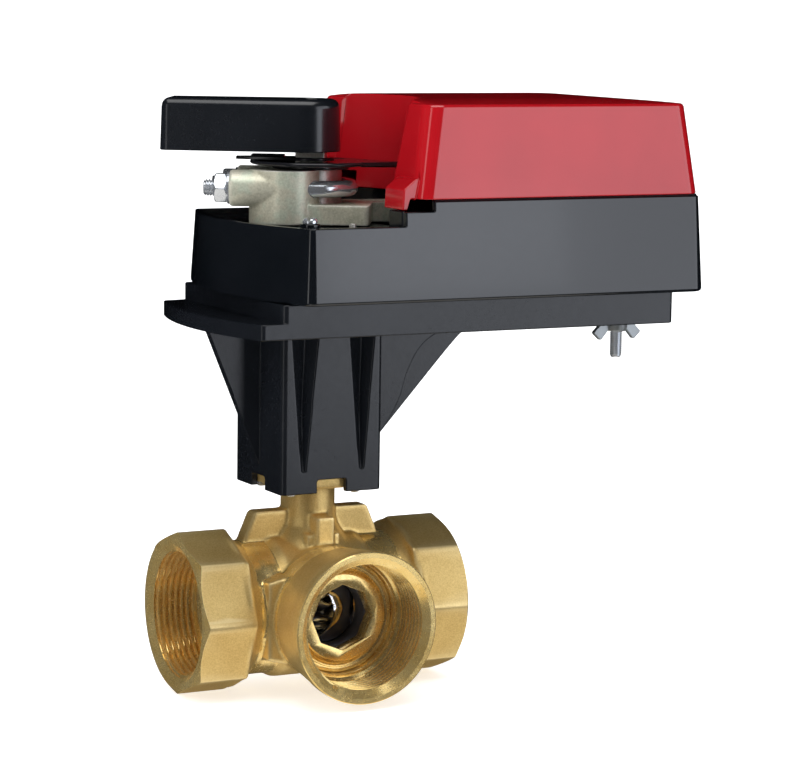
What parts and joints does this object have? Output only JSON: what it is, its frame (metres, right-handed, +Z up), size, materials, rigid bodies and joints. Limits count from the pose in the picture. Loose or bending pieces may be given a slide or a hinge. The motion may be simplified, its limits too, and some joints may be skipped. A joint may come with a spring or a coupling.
{
  "type": "motorised three-way ball valve",
  "caption": "Threaded brass three-way ball valve with a black bracket and a rotary electric actuator: black housing, red cover, shaft clamp, position indicator and turning handle.",
  "frame": {"origin": "on the branch port's axis, where its thread wall starts, 2 mm inside the mouth", "axes": "+Z up the stem to the handle, -Y out of the branch port, X along the two run ports with the motor end at +X"},
  "size_m": [0.1895, 0.118, 0.2142],
  "materials": {
    "cast_brass": "sand cast and blasted, satin, with turned port mouths",
    "turned_brass": "turned bright",
    "filled_ptfe": "dark filled PTFE",
    "chromed_brass": "chromed and polished",
    "black_rubber": "matte",
    "white_plastic": "moulded",
    "bracket_plastic": "black glass-filled nylon, satin gloss",
    "housing_plastic": "black, glossy moulding",
    "small_black_plastic": "black moulding",
    "indicator_plastic": "thin black moulding",
    "handle_plastic": "black, softly glossy",
    "cover_plastic": "red, glossy moulding",
    "plated_steel": "bright zinc plate",
    "shaft_steel": "machined, grainy",
    "bush_bronze": "sintered bronze",
    "zinc_casting": "die cast, yellow-grey passivated",
    "zinc_sheet": "zinc-plated sheet",
    "gear_nylon": "natural nylon",
    "motor_can": "drawn steel can",
    "board_green": "solder mask",
    "terminal_green": "moulded",
    "capacitor_yellow": "film capacitor wrap"
  },
  "bodies": {
    "valve": {"valve_body": "cast_brass", "left_retainer": "turned_brass", "right_retainer": "turned_brass", "branch_retainer": "turned_brass", "left_seat": "filled_ptfe", "right_seat": "filled_ptfe", "branch_seat": "filled_ptfe", "mounting_bracket": "bracket_plastic", "bracket_screws": "plated_steel", "lower_bush": "bush_bronze", "upper_bush": "bush_bronze", "housing_base": "housing_plastic", "base_screws": "plated_steel", "housing_deck": "housing_plastic", "deck_screws": "plated_steel", "stop_pins": "shaft_steel", "limit_switches": "small_black_plastic", "gear_plate": "zinc_sheet", "plate_posts": "plated_steel", "gear_axles": "shaft_steel", "motor": "motor_can", "motor_screws": "plated_steel", "circuit_board": "board_green", "board_screws": "plated_steel", "terminal_block": "terminal_green", "capacitor": "capacitor_yellow", "cable_gland": "small_black_plastic", "gland_locknut": "small_black_plastic", "cover": "cover_plastic", "cover_screws": "plated_steel", "stud": "plated_steel", "stud_washer": "plated_steel"},
    "drive": {"ball": "chromed_brass", "stem": "turned_brass", "stem_o_rings": "black_rubber", "thrust_washer": "white_plastic", "coupling_sleeve": "shaft_steel", "coupling_pin": "plated_steel", "drive_shaft": "shaft_steel", "retaining_ring": "plated_steel", "output_gear": "gear_nylon", "gear_key": "shaft_steel", "switch_cam": "white_plastic", "clamp_casting": "zinc_casting", "u_bolt": "plated_steel", "clamp_washers": "plated_steel", "clamp_nuts": "plated_steel", "indicator_disc": "indicator_plastic", "pointer": "indicator_plastic", "handle": "handle_plastic", "handle_screw": "plated_steel"},
    "second_gear": {"second_gear": "gear_nylon"},
    "first_gear": {"first_gear": "gear_nylon"},
    "motor_rotor": {"motor_pinion": "turned_brass"},
    "wing_nut": {"wing_nut": "plated_steel"}
  },
  "joints": [
    {"name": "drive_turn", "type": "hinge", "parent": "valve", "child": "drive", "pos_m": [0, 0.048, 0.09], "axis": [0, 0, 1], "range_deg": [-60, 30]},
    {"name": "second_gear_spin", "type": "hinge", "parent": "valve", "child": "second_gear", "pos_m": [0.03383, 0.06031, 0.12], "axis": [0, 0, 1], "range_deg": [-150, 300]},
    {"name": "first_gear_spin", "type": "hinge", "parent": "valve", "child": "first_gear", "pos_m": [0.05746, 0.05615, 0.12], "axis": [0, 0, 1], "range_deg": [-1200, 600]},
    {"name": "motor_spin", "type": "hinge", "parent": "valve", "child": "motor_rotor", "pos_m": [0.08146, 0.05615, 0.12], "axis": [0, 0, 1], "range_deg": [-900, 1800]},
    {"name": "wing_nut_spin", "type": "hinge", "parent": "valve", "child": "wing_nut", "pos_m": [0.1207, 0.033, 0.098], "axis": [0, 0, 1], "continuous": true}
  ],
  "couplings": [
    {"joint": "second_gear_spin", "follows": "drive_turn", "ratio": -5},
    {"joint": "first_gear_spin", "follows": "drive_turn", "ratio": 20},
    {"joint": "motor_spin", "follows": "drive_turn", "ratio": -30}
  ]
}
